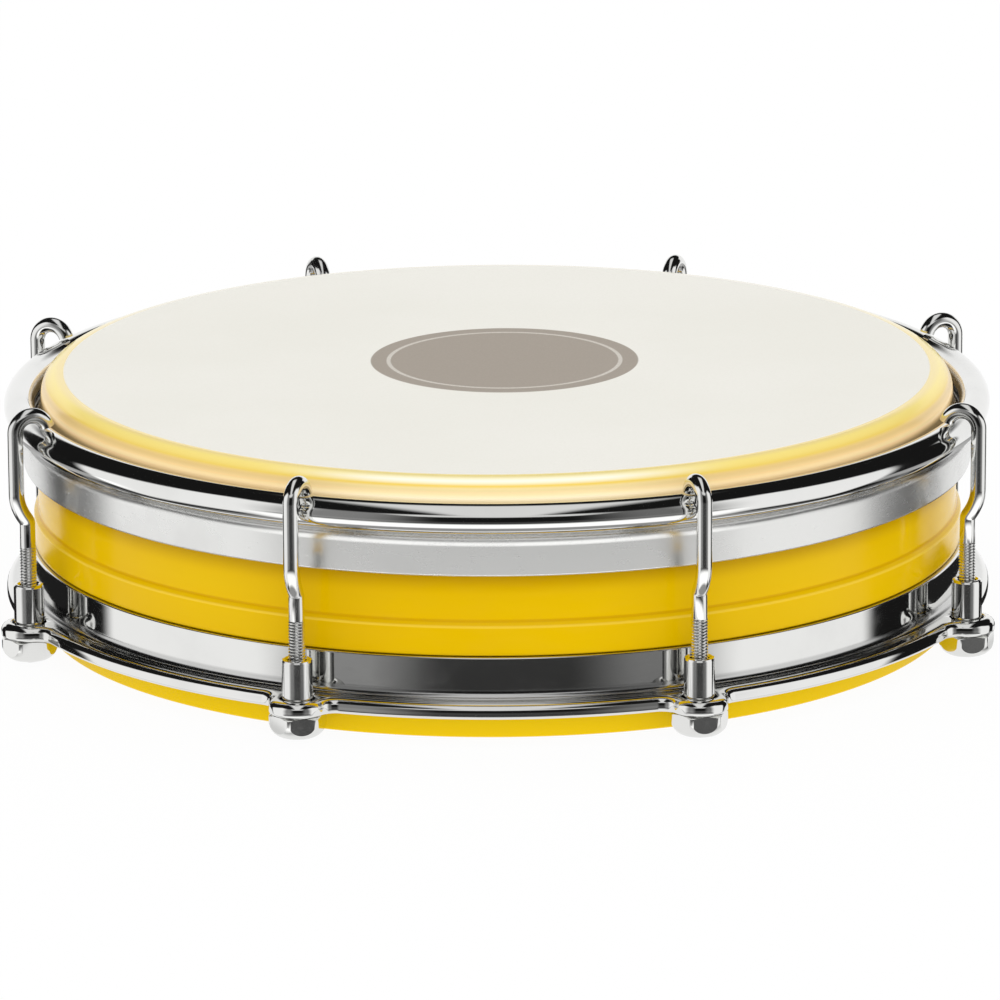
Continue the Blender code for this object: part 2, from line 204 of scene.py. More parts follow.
def band_mask(tree, value, middle, width):
    """1 at a value, and down to 0 at a width from it."""
    off = calc(tree, "ABSOLUTE", calc(tree, "SUBTRACT", value, middle))
    return ramp_up(tree, off, width * 0.4, width, 1.0, 0.0)


def bump(tree, height, distance, strength, normal=None):
    node = tree.nodes.new("ShaderNodeBump")
    node.inputs["Distance"].default_value = distance
    node.inputs["Strength"].default_value = strength
    tree.links.new(height, node.inputs["Height"])
    if normal:
        tree.links.new(normal, node.inputs["Normal"])
    return node.outputs["Normal"]


def new_material(name):
    material = bpy.data.materials.new(name)
    material.use_nodes = True
    tree = material.node_tree
    return material, tree, tree.nodes["Principled BSDF"]


# Finishes

def around(tree, x, y, z, turns):
    """Coordinates that run round the drum: the angle stretched, the height and the radius as they are."""
    angle = calc(tree, "ARCTAN2", y, x)
    join = tree.nodes.new("ShaderNodeCombineXYZ")
    tree.links.new(calc(tree, "MULTIPLY", angle, turns), join.inputs[0])
    tree.links.new(z, join.inputs[1])
    tree.links.new(radius_of(tree, x, y), join.inputs[2])
    return join.outputs[0]


def yellow_plastic():
    material, tree, shader = new_material("yellow_plastic")
    where, x, y, z = place(tree)
    cloud = noise(tree, where, 26.0, 4.0)
    colour = colour_ramp(tree, cloud, [
        (0.30, linear(226, 181, 0)), (0.70, linear(233, 190, 0))])
    outside = ramp_up(tree, radius_of(tree, x, y), 75.0 * MM, 75.6 * MM, 0.0, 0.8)
    # Painted shade: a darker line in the groove under the shoulder.
    groove = band_mask(tree, z, 19.6 * MM, 0.28 * MM)
    colour = mix_colour(tree, calc(tree, "MULTIPLY", groove, outside), colour, linear(216, 164, 0))
    # Painted highlight: a lighter line along the shoulder's edge.
    ridge = band_mask(tree, z, 18.75 * MM, 0.3 * MM)
    colour = mix_colour(tree, calc(tree, "MULTIPLY", ridge, outside), colour, linear(240, 202, 60))
    # Painted light: the skirt under the ring is lightened, against the shade under the flange.
    skirt_painted_light = ramp_up(tree, z, 4.0 * MM, 6.0 * MM, 0.8, 0.0)
    colour = mix_colour(tree, skirt_painted_light, colour, linear(246, 207, 6))
    # Painted shade: the wall darkens just under the counterhoop.
    hoop_shade = ramp_up(tree, z, 23.6 * MM, 26.6 * MM, 0.0, 0.5)
    colour = mix_colour(tree, hoop_shade, colour, linear(186, 138, 0))
    tree.links.new(colour, shader.inputs["Base Color"])
    scuff = noise(tree, around(tree, x, y, z, 0.012), 900.0, 5.0, 0.65)
    rough = ramp_up(tree, scuff, 0.35, 0.75, 0.10, 0.24)
    tree.links.new(rough, shader.inputs["Roughness"])
    peel = noise(tree, where, 750.0, 2.0)
    normal = bump(tree, peel, 0.00004, 0.25)
    tree.links.new(normal, shader.inputs["Normal"])
    shader.inputs["IOR"].default_value = 1.49
    shader.inputs["Specular IOR Level"].default_value = 0.1
    return material


def head_film():
    """The coated playing face, its printed patch, and the clear collar with the shell showing through,
    painted with a highlight line and with shade at its foot.
    """
    material, tree, shader = new_material("head_film")
    where, x, y, z = place(tree)
    radius = radius_of(tree, x, y)

    grain = noise(tree, where, 2600.0, 2.0, 0.6)
    cloud = noise(tree, where, 22.0, 4.0)
    coat = mix_colour(
        tree, ramp_up(tree, cloud, 0.3, 0.7), linear(241, 239, 230), linear(244, 242, 234))
    coat = mix_colour(tree, ramp_up(tree, grain, 0.35, 0.75, 0.0, 0.35), coat, linear(234, 232, 222))

    # The collar's colours by height: the film over the yellow shell, with a painted highlight line near the
    # top and painted shade at its foot.
    collar_height = ramp_up(tree, z, 38.3 * MM, 42.65 * MM)
    collar_height.node.interpolation_type = "LINEAR"
    collar = colour_ramp(tree, collar_height, [
        (0.00, linear(200, 175, 130)),
        (0.12, linear(224, 200, 152)),
        (0.28, linear(252, 237, 200)),
        (0.43, linear(248, 225, 172)),
        (0.63, linear(253, 230, 164)),
        (0.71, linear(248, 212, 92)),
        (0.80, linear(254, 243, 205)),
        (0.86, linear(255, 251, 234)),
        (0.92, linear(252, 244, 205)),
        (0.98, linear(240, 221, 146)),
    ])
    side_collar = colour_ramp(tree, collar_height, [
        (0.00, linear(200, 175, 130)),
        (0.12, linear(215, 185, 135)),
        (0.28, linear(241, 213, 162)),
        (0.43, linear(236, 205, 143)),
        (0.63, linear(243, 209, 138)),
        (0.71, linear(245, 214, 106)),
        (0.80, linear(247, 222, 124)),
        (0.92, linear(249, 228, 134)),
        (0.98, linear(244, 222, 150)),
    ])
    # The sides take the second ramp, without the painted highlight line, so that the highlight shows only
    # at the front.
    to_side = ramp_up(tree, calc(tree, "ABSOLUTE", x), 14.0 * MM, 40.0 * MM)
    collar = mix_colour(tree, to_side, collar, side_collar)
    # Painted sheen: the collar turns pale where it is seen at a glancing angle towards the back.
    weight = tree.nodes.new("ShaderNodeLayerWeight")
    weight.inputs["Blend"].default_value = 0.5
    glancing_sheen = calc(tree, "MULTIPLY", ramp_up(tree, weight.outputs["Facing"], 0.60, 0.80),
                    ramp_up(tree, y, 12.0 * MM, 52.0 * MM))
    collar = mix_colour(tree, glancing_sheen, collar, linear(240, 236, 222))
    coated = ramp_up(tree, radius, COATING_EDGE - 0.15 * MM, COATING_EDGE + 0.15 * MM, 1.0, 0.0)
    colour = mix_colour(tree, coated, collar, coat)

    patch_x = calc(tree, "SUBTRACT", x, PATCH[0])
    patch_y = calc(tree, "SUBTRACT", y, PATCH[1])
    from_patch = radius_of(tree, patch_x, patch_y)
    printed = ramp_up(tree, from_patch, PATCH_RADIUS - 0.1 * MM, PATCH_RADIUS + 0.15 * MM, 1.0, 0.0)
    ring = calc(tree, "ABSOLUTE", calc(tree, "SUBTRACT", from_patch, PATCH_RING))
    line = ramp_up(tree, ring, 0.25 * MM, 0.45 * MM, 1.0, 0.0)
    ink = mix_colour(tree, line, linear(165, 154, 141), linear(214, 208, 198))
    ink = mix_colour(tree, ramp_up(tree, grain, 0.35, 0.75, 0.0, 0.4), ink, linear(176, 166, 153))
    on_top = ramp_up(tree, z, HEAD_TOP - 0.1 * MM, HEAD_TOP - 0.02 * MM)
    colour = mix_colour(tree, calc(tree, "MULTIPLY", printed, on_top), colour, ink)
    tree.links.new(colour, shader.inputs["Base Color"])

    # A painted glow: emission that stands in for light the clear film carries down inside itself.
    painted_glow = calc(tree, "MULTIPLY", ramp_up(tree, z, 38.2 * MM, 39.1 * MM),
               ramp_up(tree, z, 39.7 * MM, 40.9 * MM, 0.36, 0.0))
    tree.links.new(collar, shader.inputs["Emission Color"])
    tree.links.new(painted_glow, shader.inputs["Emission Strength"])

    rough = calc(tree, "ADD", 0.16, calc(tree, "MULTIPLY", coated, 0.34))
    tree.links.new(rough, shader.inputs["Roughness"])
    height = calc(tree, "MULTIPLY", grain, coated)
    tree.links.new(bump(tree, height, 0.00003, 0.35), shader.inputs["Normal"])
    shader.inputs["IOR"].default_value = 1.57
    shader.inputs["Specular IOR Level"].default_value = 0.3
    return material


def polish_group():
    """Wear of a plated part: fine hair scratches, a few deeper ones, and smears that dull the gloss."""
    group = bpy.data.node_groups.new("polish", "ShaderNodeTree")
    socket = group.interface.new_socket
    socket(name="Along", in_out="INPUT", socket_type="NodeSocketVector")
    socket(name="Place", in_out="INPUT", socket_type="NodeSocketVector")
    socket(name="Gloss", in_out="INPUT", socket_type="NodeSocketFloat")
    socket(name="Wear", in_out="INPUT", socket_type="NodeSocketFloat")
    socket(name="Roughness", in_out="OUTPUT", socket_type="NodeSocketFloat")
    socket(name="Height", in_out="OUTPUT", socket_type="NodeSocketFloat")
    socket(name="Shade", in_out="OUTPUT", socket_type="NodeSocketFloat")
    start = group.nodes.new("NodeGroupInput").outputs
    end = group.nodes.new("NodeGroupOutput").inputs

    hairs = noise(group, start["Along"], 1500.0, 4.0, 0.7)
    smears = noise(group, start["Place"], 55.0, 4.0, 0.6)
    smear = ramp_up(group, smears, 0.45, 0.75)
    hair = ramp_up(group, hairs, 0.5, 0.8)
    dull = calc(group, "ADD", calc(group, "MULTIPLY", smear, 0.08), calc(group, "MULTIPLY", hair, 0.05))
    rough = calc(group, "ADD", start["Gloss"], calc(group, "MULTIPLY", dull, start["Wear"]))
    group.links.new(rough, end["Roughness"])
    group.links.new(hairs, end["Height"])
    group.links.new(calc(group, "MULTIPLY", smear, start["Wear"]), end["Shade"])
    return group


def chrome(name, gloss, wear, ring=True, satin=None, bend=None):
    """Plated steel. Satin is a (height, height, amount): duller below, as bright as the rest above.

    Bend is a (middle height, half height, amount): painted shade, a darker and rougher tone in a tight
    bend.
    """
    material, tree, shader = new_material(name)
    where, x, y, z = place(tree)
    along = around(tree, x, y, z, 0.02) if ring else where
    node = tree.nodes.new("ShaderNodeGroup")
    node.node_tree = POLISH
    tree.links.new(along, node.inputs["Along"])
    tree.links.new(where, node.inputs["Place"])
    node.inputs["Gloss"].default_value = gloss
    node.inputs["Wear"].default_value = wear
    dark = tuple(value * 0.93 for value in BRIGHT)
    colour = mix_colour(tree, node.outputs["Shade"], BRIGHT, dark)
    rough = node.outputs["Roughness"]
    if bend:
        # Painted shade in the bend: a darker colour, with more roughness.
        bend_shade = calc(tree, "MULTIPLY", band_mask(tree, z, bend[0], bend[1]),
                       ramp_up(tree, radius_of(tree, x, y), 82.0 * MM, 82.6 * MM, bend[2], 0.0))
        colour = mix_colour(tree, bend_shade, colour, linear(120, 120, 121))
        rough = calc(tree, "ADD", rough, calc(tree, "MULTIPLY", bend_shade, 0.3))
    tree.links.new(colour, shader.inputs["Base Color"])
    if satin:
        rough = calc(tree, "ADD", rough, ramp_up(tree, z, satin[0], satin[1], satin[2], 0.0))
    tree.links.new(rough, shader.inputs["Roughness"])
    tree.links.new(bump(tree, node.outputs["Height"], 0.000004, 0.3), shader.inputs["Normal"])
    shader.inputs["Metallic"].default_value = 1.0
    return material


# Shapes that follow a rule, made by geometry nodes

def turning_tree():
    """Turns a profile drawn as a chain of points about the drum's axis, and closes the seam."""
    tree = bpy.data.node_groups.new("turned_ring", "GeometryNodeTree")
    socket = tree.interface.new_socket
    socket(name="Profile", in_out="INPUT", socket_type="NodeSocketGeometry")
    socket(name="Steps", in_out="INPUT", socket_type="NodeSocketInt")
    socket(name="Profile Points", in_out="INPUT", socket_type="NodeSocketInt")
    socket(name="Closed", in_out="INPUT", socket_type="NodeSocketInt")
    socket(name="Material", in_out="INPUT", socket_type="NodeSocketMaterial")
    socket(name="Ring", in_out="OUTPUT", socket_type="NodeSocketGeometry")
    start = tree.nodes.new("NodeGroupInput").outputs
    end = tree.nodes.new("NodeGroupOutput").inputs

    across = calc(tree, "ADD", start["Profile Points"], start["Closed"])
    along = calc(tree, "ADD", start["Steps"], 1.0)
    grid = tree.nodes.new("GeometryNodeMeshGrid")
    tree.links.new(across, grid.inputs["Vertices X"])
    tree.links.new(along, grid.inputs["Vertices Y"])

    index = tree.nodes.new("GeometryNodeInputIndex").outputs[0]
    row = calc(tree, "FLOOR", calc(tree, "DIVIDE", calc(tree, "ADD", index, 0.5), along))
    step = calc(tree, "SUBTRACT", index, calc(tree, "MULTIPLY", row, along))
    wrapped = calc(tree, "MODULO", row, start["Profile Points"])
    angle = calc(tree, "MULTIPLY", calc(tree, "DIVIDE", step, start["Steps"]), math.tau)

    sample = tree.nodes.new("GeometryNodeSampleIndex")
    sample.data_type = "FLOAT_VECTOR"
    tree.links.new(start["Profile"], sample.inputs["Geometry"])
    tree.links.new(tree.nodes.new("GeometryNodeInputPosition").outputs[0], sample.inputs["Value"])
    tree.links.new(wrapped, sample.inputs["Index"])
    split = tree.nodes.new("ShaderNodeSeparateXYZ")
    tree.links.new(sample.outputs[0], split.inputs[0])
    join = tree.nodes.new("ShaderNodeCombineXYZ")
    tree.links.new(calc(tree, "MULTIPLY", split.outputs[0], calc(tree, "COSINE", angle)), join.inputs[0])
    tree.links.new(calc(tree, "MULTIPLY", split.outputs[0], calc(tree, "SINE", angle)), join.inputs[1])
    tree.links.new(split.outputs[2], join.inputs[2])

    move = tree.nodes.new("GeometryNodeSetPosition")
    tree.links.new(grid.outputs["Mesh"], move.inputs["Geometry"])
    tree.links.new(join.outputs[0], move.inputs["Position"])
    merge = tree.nodes.new("GeometryNodeMergeByDistance")
    merge.inputs["Distance"].default_value = 0.000001
    tree.links.new(move.outputs[0], merge.inputs["Geometry"])
    smooth = tree.nodes.new("GeometryNodeSetShadeSmooth")
    tree.links.new(merge.outputs[0], smooth.inputs[0])
    whole = tree.nodes.new("GeometryNodeRealizeInstances")
    tree.links.new(smooth.outputs[0], whole.inputs[0])
    finish = tree.nodes.new("GeometryNodeSetMaterial")
    tree.links.new(whole.outputs[0], finish.inputs["Geometry"])
    tree.links.new(start["Material"], finish.inputs["Material"])
    tree.links.new(finish.outputs[0], end["Ring"])
    return tree


def shaped(name, data, tree, values):
    """Runs a geometry tree on drawn data and keeps the result as a plain mesh."""
    guide = bpy.data.objects.new(name + "_guide", data)
    bpy.context.scene.collection.objects.link(guide)
    modifier = guide.modifiers.new("shape", "NODES")
    modifier.node_group = tree
    for item in tree.interface.items_tree:
        if item.in_out == "INPUT" and item.name in values:
            modifier[item.identifier] = values[item.name]
    graph = bpy.context.evaluated_depsgraph_get()
    graph.update()
    mesh = bpy.data.meshes.new_from_object(guide.evaluated_get(graph))
    bpy.data.objects.remove(guide, do_unlink=True)
    mesh.name = name
    return mesh


def faced_outwards(mesh):
    shape = bmesh.new()
    shape.from_mesh(mesh)
    bmesh.ops.recalc_face_normals(shape, faces=shape.faces)
    shape.to_mesh(mesh)
    shape.free()


def keep(name, mesh, body, slot, *nodes):
    """Shows a finished mesh in place of CAD nodes, riding on their body."""
    piece = bpy.data.objects.new(name, mesh)
    bpy.context.scene.collection.objects.link(piece)
    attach(piece, body)
    if nodes:
        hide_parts(*nodes)
    return piece


def arc(centre, radius, start, end, steps):
    turn = (end - start) / steps
    angles = [start + turn * step for step in range(steps + 1)]
    return [(centre[0] + radius * math.cos(a), centre[1] + radius * math.sin(a)) for a in angles]


def rounded(points, steps=4):
    """A closed profile from (radius, height, rounding) corners, each rounded as far as its sides allow."""
    result = []
    count = len(points)
    for i, (x, z, rounding) in enumerate(points):
        here = Vector((x, z))
        before = Vector(points[i - 1][:2])
        after = Vector(points[(i + 1) % count][:2])
        if rounding <= 0.0:
            result.append((x, z))
            continue
        one, two = (before - here).normalized(), (after - here).normalized()
        half = one.angle(two) / 2
        reach = min(rounding / math.tan(half), (before - here).length * 0.49, (after - here).length * 0.49)
        radius = reach * math.tan(half)
        first, last = here + one * reach, here + two * reach
        middle = here + (one + two).normalized() * (radius / math.sin(half))
        a0 = math.atan2(first[1] - middle[1], first[0] - middle[0])
        a1 = math.atan2(last[1] - middle[1], last[0] - middle[0])
        turn = (a1 - a0 + math.pi) % math.tau - math.pi
        for step in range(steps + 1):
            a = a0 + turn * step / steps
            result.append((middle[0] + radius * math.cos(a), middle[1] + radius * math.sin(a)))
    return result


def profile_mesh(name, profile, closed):
    """A chain of (radius, height) points as a mesh of edges."""
    mesh = bpy.data.meshes.new(name)
    last = len(profile) - 1
    edges = [(i, i + 1) for i in range(last)] + ([(last, 0)] if closed else [])
    mesh.from_pydata([(radius, 0.0, height) for radius, height in profile], edges, [])
    return mesh


def turned_piece(name, profile, material, closed=True):
    mesh = shaped(name, profile_mesh(name, profile, closed), TURNING, {
        "Steps": ROUND_STEPS, "Profile Points": len(profile), "Closed": int(closed), "Material": material})
    faced_outwards(mesh)
    piece = keep(name + "_fine", mesh, "drum", name, name)
    piece.modifiers.new("flats", "WEIGHTED_NORMAL")
    return piece


# Rings

def shell_profile():
    inner = CROWN[0] - BORE_RADIUS
    edge = arc(CROWN, CROWN_RADIUS, math.pi / 2, 0.0, 12)
    side = rounded([
        (REBATE_RADIUS, CROWN[1], 0.0),
        (REBATE_RADIUS, REBATE_BOTTOM + 1.0 * MM, 0.5 * MM),
        (WALL_RADIUS, REBATE_BOTTOM, 0.5 * MM),
        (WALL_RADIUS, SHOULDER_TOP + 0.9 * MM, 0.9 * MM),
        (SHOULDER_RADIUS, SHOULDER_TOP, 0.4 * MM),
        (SHOULDER_RADIUS, SKIRT_TOP, 0.35 * MM),
        (SKIRT_RADIUS, SKIRT_TOP, 0.2 * MM),
        (SKIRT_RADIUS, 0.0, 0.45 * MM),
        (BORE_RADIUS, 0.0, 0.45 * MM),
        (BORE_RADIUS, SHELL_TOP - inner, 0.0),
    ], 5)[1:-1]
    inside = arc((CROWN[0], SHELL_TOP - inner), inner, math.pi, math.pi / 2, 5)[:-1]
    return edge + side + inside


def film_side(offset, steps):
    side = arc(CROWN, CROWN_RADIUS + FIT_GAP + offset, math.pi / 2, 0.0, steps)
    slot = CHANNEL_INNER + CHANNEL_WALL + FIT_GAP + offset
    collar = side[-1][0]
    # An easy curve from the straight collar out to the slot.
    top, bottom = CROWN[1] - 1.4 * MM, CHANNEL_TOP
    for step in range(1, 7):
        share = step / 6
        ease = share * share * (3 - 2 * share)
        side.append((collar + (slot - collar) * ease, top + (bottom - top) * share))
    side.append((slot, CHANNEL_BOTTOM + CHANNEL_WALL + FIT_GAP))
    return side


def film_profile():
    inward = [radius * MM for radius in (0.0, 12.0, 24.0, 36.0, 48.0, 60.0, 68.0)]
    top = [(radius, HEAD_TOP) for radius in inward] + film_side(FILM, 14)
    under = film_side(0.0, 14)[::-1] + [(radius, HEAD_TOP - FILM) for radius in inward[::-1]]
    return top + under


def channel_profile():
    slot_inner, slot_outer = CHANNEL_INNER + CHANNEL_WALL, CHANNEL_OUTER - CHANNEL_WALL
    slot_bottom = CHANNEL_BOTTOM + CHANNEL_WALL
    return rounded([
        (CHANNEL_OUTER, CHANNEL_TOP, 0.2 * MM),
        (CHANNEL_OUTER, CHANNEL_BOTTOM, 0.8 * MM),
        (CHANNEL_INNER, CHANNEL_BOTTOM, 0.8 * MM),
        (CHANNEL_INNER, CHANNEL_TOP, 0.2 * MM),
        (slot_inner, CHANNEL_TOP, 0.2 * MM),
        (slot_inner, slot_bottom, 0.3 * MM),
        (slot_outer, slot_bottom, 0.3 * MM),
        (slot_outer, CHANNEL_TOP, 0.2 * MM),
    ])


def hoop_profile():
    half = HOOP_SHEET / 2
    across = BAND_MIDDLE + BEAD_FILLET - BEAD[0]
    rise = math.sqrt((BEAD_RADIUS - half + BEAD_FILLET) ** 2 - across ** 2)
    fillet = (BEAD[0] + across, BEAD[1] - rise)
    meeting = math.atan2(rise, -across)
    band = math.pi - HOOP_LEAN
    outer_fillet = arc(fillet, BEAD_FILLET - half, meeting, band, 12)
    inner_fillet = arc(fillet, BEAD_FILLET + half, band, meeting, 12)
    outer_curl = arc(BEAD, BEAD_RADIUS, CURL_END, meeting - math.pi, 40)
    inner_curl = arc(BEAD, BEAD_RADIUS - HOOP_SHEET, meeting - math.pi, CURL_END, 24)

    def foot(start):
        return (start[0] - (start[1] - HOOP_BOTTOM) * math.tan(HOOP_LEAN), HOOP_BOTTOM)

    outer, inner = foot(outer_fillet[-1]), foot(inner_fillet[0])
    edge = rounded([
        (*outer_fillet[-1], 0.0),
        (*outer, HOOP_EDGE),
        (*inner, HOOP_EDGE),
        (*inner_fillet[0], 0.0),
    ], 6)[1:-1]
    return outer_curl + outer_fillet[1:] + edge + inner_fillet + inner_curl[1:]


# Tension ring

def lug_angles():
    return [FIRST_LUG + index * math.tau / LUG_COUNT for index in range(LUG_COUNT)]


def lug_matrix(angle):
    return Matrix.Rotation(angle, 4, "Z") @ Matrix.Translation((LUG_RADIUS, 0.0, 0.0))


def flange_outline(inset):
    """The flange's edge with its eight ears, drawn in by an inset. Every inset has as many points."""
    flange, ear, fillet = FLANGE_RADIUS - inset, EAR_RADIUS - inset, EAR_FILLET + inset
    side, reach = FLANGE_RADIUS + EAR_FILLET, EAR_RADIUS + EAR_FILLET
    along = (side ** 2 - reach ** 2 + LUG_RADIUS ** 2) / (2 * LUG_RADIUS)
    across = math.sqrt(side ** 2 - along ** 2)
    ear_angle = math.atan2(across, along - LUG_RADIUS)
    to_ear = math.atan2(-across, -(along - LUG_RADIUS)) + math.tau
    to_flange = math.atan2(-across, -along) + math.tau
    root = math.atan2(across, along)
    points = []
    for lug in lug_angles():
        turn = Matrix.Rotation(lug, 2)
        local = []
        for x, y in arc((along, -across), fillet, math.tau - to_flange, math.tau - to_ear, 8):
            local.append((x, y))
        for x, y in arc((LUG_RADIUS, 0.0), ear, -ear_angle, ear_angle, 28)[1:]:
            local.append((x, y))
        for x, y in arc((along, across), fillet, to_ear, to_flange, 8)[1:]:
            local.append((x, y))
        gap = math.tau / LUG_COUNT - 2 * root
        for step in range(1, 16):
            a = root + gap * step / 16
            local.append((flange * math.cos(a), flange * math.sin(a)))
        points += [tuple(turn @ Vector(point)) for point in local]
    return points


def ring_mesh(material):
    """The pressed ring: a turned band and bend, and a flange with rounded edges, ears and holes."""
    shape = bmesh.new()

    def loop(points, height):
        verts = [shape.verts.new((x, y, height)) for x, y in points]
        edges = [shape.edges.new((verts[i - 1], verts[i])) for i in range(len(verts))]
        return verts, edges

    def circle(radius, height, centre=(0.0, 0.0), steps=ROUND_STEPS):
        points = []
        for i in range(steps):
            a = math.tau * i / steps
            points.append((centre[0] + radius * math.cos(a), centre[1] + radius * math.sin(a)))
        return loop(points, height)

    def skin(first, second):
        count = len(first)
        for i in range(count):
            shape.faces.new((first[i - 1], first[i], second[i], second[i - 1]))

    bend = (RING_OUTER + RING_BEND, FLANGE_TOP + RING_BEND)
    outside = RING_BEND + RING_OUTER - RING_INNER
    hollow = arc(bend, RING_BEND, 1.5 * math.pi, math.pi, 10)
    edge = 0.28 * MM
    lip = arc((RING_OUTER - edge, RING_TOP - edge), edge, 0.0, math.pi / 2, 4)
    lip += arc((RING_INNER + edge, RING_TOP - edge), edge, math.pi / 2, math.pi, 4)
    round_side = arc((bend[0], RING_BOTTOM + outside), outside, math.pi, 1.5 * math.pi, 12)
    rows = [circle(radius, height) for radius, height in hollow + lip + round_side]
    for one, two in zip(rows, rows[1:]):
        skin(one[0], two[0])

    # Rounded rim, from the top face over to the underside.
    rim_width, rim_drop, foot_round = 1.4 * MM, 1.3 * MM, 0.5 * MM
    turnover = [math.radians(a) for a in (90, 75, 60, 45, 30, 15, 0)]
    levels = [(rim_width * (1 - math.cos(a)), FLANGE_TOP - rim_drop * (1 - math.sin(a))) for a in turnover]
    for a in reversed(turnover):
        levels.append((foot_round * (1 - math.cos(a)), RING_BOTTOM + foot_round * (1 - math.sin(a))))
    rims = [loop(flange_outline(inset), height) for inset, height in levels]
    for one, two in zip(rims, rims[1:]):
        skin(one[0], two[0])

    # Holes with a small chamfer at both ends.
    chamfer = 0.2 * MM
    tops, bottoms = [], []
    for lug in lug_angles():
        centre = (LUG_RADIUS * math.cos(lug), LUG_RADIUS * math.sin(lug))
        walls = [
            circle(EAR_HOLE + chamfer * 0.6, FLANGE_TOP, centre, 40),
            circle(EAR_HOLE, FLANGE_TOP - chamfer, centre, 40),
            circle(EAR_HOLE, RING_BOTTOM + chamfer, centre, 40),
            circle(EAR_HOLE + chamfer * 0.6, RING_BOTTOM, centre, 40),
        ]
        for one, two in zip(walls, walls[1:]):
            skin(one[0], two[0])
        tops += walls[0][1]
        bottoms += walls[-1][1]
    bmesh.ops.triangle_fill(shape, edges=rims[0][1] + rows[0][1] + tops, use_beauty=True)
    bmesh.ops.triangle_fill(shape, edges=rims[-1][1] + rows[-1][1] + bottoms, use_beauty=True)
    bmesh.ops.recalc_face_normals(shape, faces=shape.faces)
    for face in shape.faces:
        face.smooth = True
    mesh = bpy.data.meshes.new("tension_ring")
    shape.to_mesh(mesh)
    shape.free()
    mesh.materials.append(material)
    mesh.set_sharp_from_angle(angle=math.radians(40))
    return mesh


# Hook rods

def rod_tree():
    """Sweeps a round wire along a drawn path and cuts a screw thread into its foot."""
    tree = bpy.data.node_groups.new("hook_rod", "GeometryNodeTree")
    socket = tree.interface.new_socket
    socket(name="Path", in_out="INPUT", socket_type="NodeSocketGeometry")
    socket(name="Wire Radius", in_out="INPUT", socket_type="NodeSocketFloat")
    socket(name="Thread Radius", in_out="INPUT", socket_type="NodeSocketFloat")
    socket(name="Thread Depth", in_out="INPUT", socket_type="NodeSocketFloat")
    socket(name="Thread Top", in_out="INPUT", socket_type="NodeSocketFloat")
    socket(name="Pitch", in_out="INPUT", socket_type="NodeSocketFloat")
    socket(name="Sides", in_out="INPUT", socket_type="NodeSocketInt")
    socket(name="Material", in_out="INPUT", socket_type="NodeSocketMaterial")
    socket(name="Rod", in_out="OUTPUT", socket_type="NodeSocketGeometry")
    start = tree.nodes.new("NodeGroupInput").outputs
    end = tree.nodes.new("NodeGroupOutput").inputs

    line = tree.nodes.new("GeometryNodeMeshToCurve")
    tree.links.new(start["Path"], line.inputs[0])
    circle = tree.nodes.new("GeometryNodeCurvePrimitiveCircle")
    circle.inputs["Radius"].default_value = 1.0
    tree.links.new(start["Sides"], circle.inputs["Resolution"])
    sized = tree.nodes.new("GeometryNodeSetCurveRadius")
    tree.links.new(line.outputs[0], sized.inputs[0])
    tree.links.new(start["Wire Radius"], sized.inputs["Radius"])
    tube = tree.nodes.new("GeometryNodeCurveToMesh")
    tube.inputs["Fill Caps"].default_value = True
    tree.links.new(sized.outputs[0], tube.inputs["Curve"])
    tree.links.new(circle.outputs[0], tube.inputs["Profile Curve"])
    if "Scale" in tube.inputs:
        tree.links.new(start["Wire Radius"], tube.inputs["Scale"])

    # The foot of the rod runs straight up the tree's own Z axis.
    position = tree.nodes.new("GeometryNodeInputPosition").outputs[0]
    split = tree.nodes.new("ShaderNodeSeparateXYZ")
    tree.links.new(position, split.inputs[0])
    x, y, z = split.outputs
    round_wire = radius_of(tree, x, y)
    turn = calc(tree, "DIVIDE", calc(tree, "ARCTAN2", y, x), math.tau)
    phase = calc(tree, "FRACT", calc(tree, "SUBTRACT", calc(tree, "DIVIDE", z, start["Pitch"]), turn))
    vee = calc(tree, "ABSOLUTE", calc(tree, "SUBTRACT", calc(tree, "MULTIPLY", phase, 2.0), 1.0))
    groove = calc(tree, "MULTIPLY", vee, start["Thread Depth"])
    ridge = calc(tree, "SUBTRACT", start["Thread Radius"], groove)
    below_top = calc(tree, "LESS_THAN", z, start["Thread Top"])
    factor = calc(tree, "DIVIDE", ridge, calc(tree, "MAXIMUM", round_wire, 0.0001))
    on_side = calc(tree, "GREATER_THAN", round_wire, calc(tree, "MULTIPLY", start["Wire Radius"], 0.5))
    cut = calc(tree, "MULTIPLY", below_top, on_side)
    spread = calc(tree, "ADD", 1.0, calc(tree, "MULTIPLY", cut, calc(tree, "SUBTRACT", factor, 1.0)))
    join = tree.nodes.new("ShaderNodeCombineXYZ")
    tree.links.new(calc(tree, "MULTIPLY", x, spread), join.inputs[0])
    tree.links.new(calc(tree, "MULTIPLY", y, spread), join.inputs[1])
    tree.links.new(z, join.inputs[2])
    move = tree.nodes.new("GeometryNodeSetPosition")
    tree.links.new(tube.outputs[0], move.inputs["Geometry"])
    tree.links.new(join.outputs[0], move.inputs["Position"])

    smooth = tree.nodes.new("GeometryNodeSetShadeSmooth")
    tree.links.new(move.outputs[0], smooth.inputs[0])
    whole = tree.nodes.new("GeometryNodeRealizeInstances")
    tree.links.new(smooth.outputs[0], whole.inputs[0])
    finish = tree.nodes.new("GeometryNodeSetMaterial")
    tree.links.new(whole.outputs[0], finish.inputs["Geometry"])
    tree.links.new(start["Material"], finish.inputs["Material"])
    tree.links.new(finish.outputs[0], end["Rod"])
    return tree


